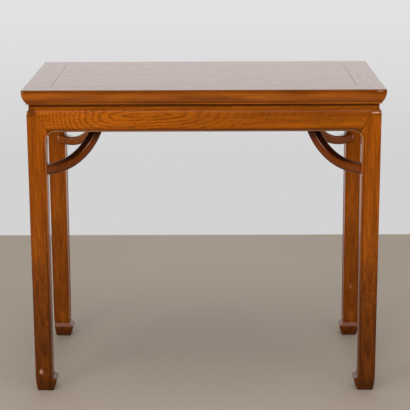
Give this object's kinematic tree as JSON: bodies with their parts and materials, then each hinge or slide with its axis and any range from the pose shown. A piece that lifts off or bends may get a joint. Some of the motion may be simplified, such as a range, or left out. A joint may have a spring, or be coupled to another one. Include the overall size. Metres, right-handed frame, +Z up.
{
  "type": "waisted desk with giant's-arm braces",
  "caption": "Chinese waisted corner-leg elm desk with a framed panel top, plain aprons, horse-hoof feet and curved giant's-arm braces under the top.",
  "frame": {"origin": "on the floor, under the middle of the top", "axes": "+X along the length to the right as seen from the front, +Y towards the back, +Z up"},
  "size_m": [0.98, 0.55, 0.86],
  "materials": {
    "frame_elm": "waxed lacquer, semi-gloss",
    "panel_elm": "waxed lacquer, semi-gloss",
    "batten_elm": "planed, thin lacquer",
    "apron_elm": "waxed lacquer, semi-gloss",
    "leg_elm": "waxed lacquer, semi-gloss",
    "brace_elm": "waxed lacquer, semi-gloss",
    "pin_wood": "bare"
  },
  "bodies": {
    "root": {"front_frame_rail": "frame_elm", "back_frame_rail": "frame_elm", "left_frame_end": "frame_elm", "right_frame_end": "frame_elm", "panel_front_board": "panel_elm", "panel_back_board": "panel_elm", "left_batten": "batten_elm", "centre_batten": "batten_elm", "right_batten": "batten_elm", "front_waist": "apron_elm", "back_waist": "apron_elm", "left_waist": "apron_elm", "right_waist": "apron_elm", "front_apron": "apron_elm", "back_apron": "apron_elm", "left_apron": "apron_elm", "right_apron": "apron_elm", "front_left_leg": "leg_elm", "front_right_leg": "leg_elm", "back_left_leg": "leg_elm", "back_right_leg": "leg_elm", "brace_wedges": "leg_elm", "front_left_brace": "brace_elm", "front_right_brace": "brace_elm", "back_left_brace": "brace_elm", "back_right_brace": "brace_elm", "brace_pins": "pin_wood"}
  },
  "joints": []
}
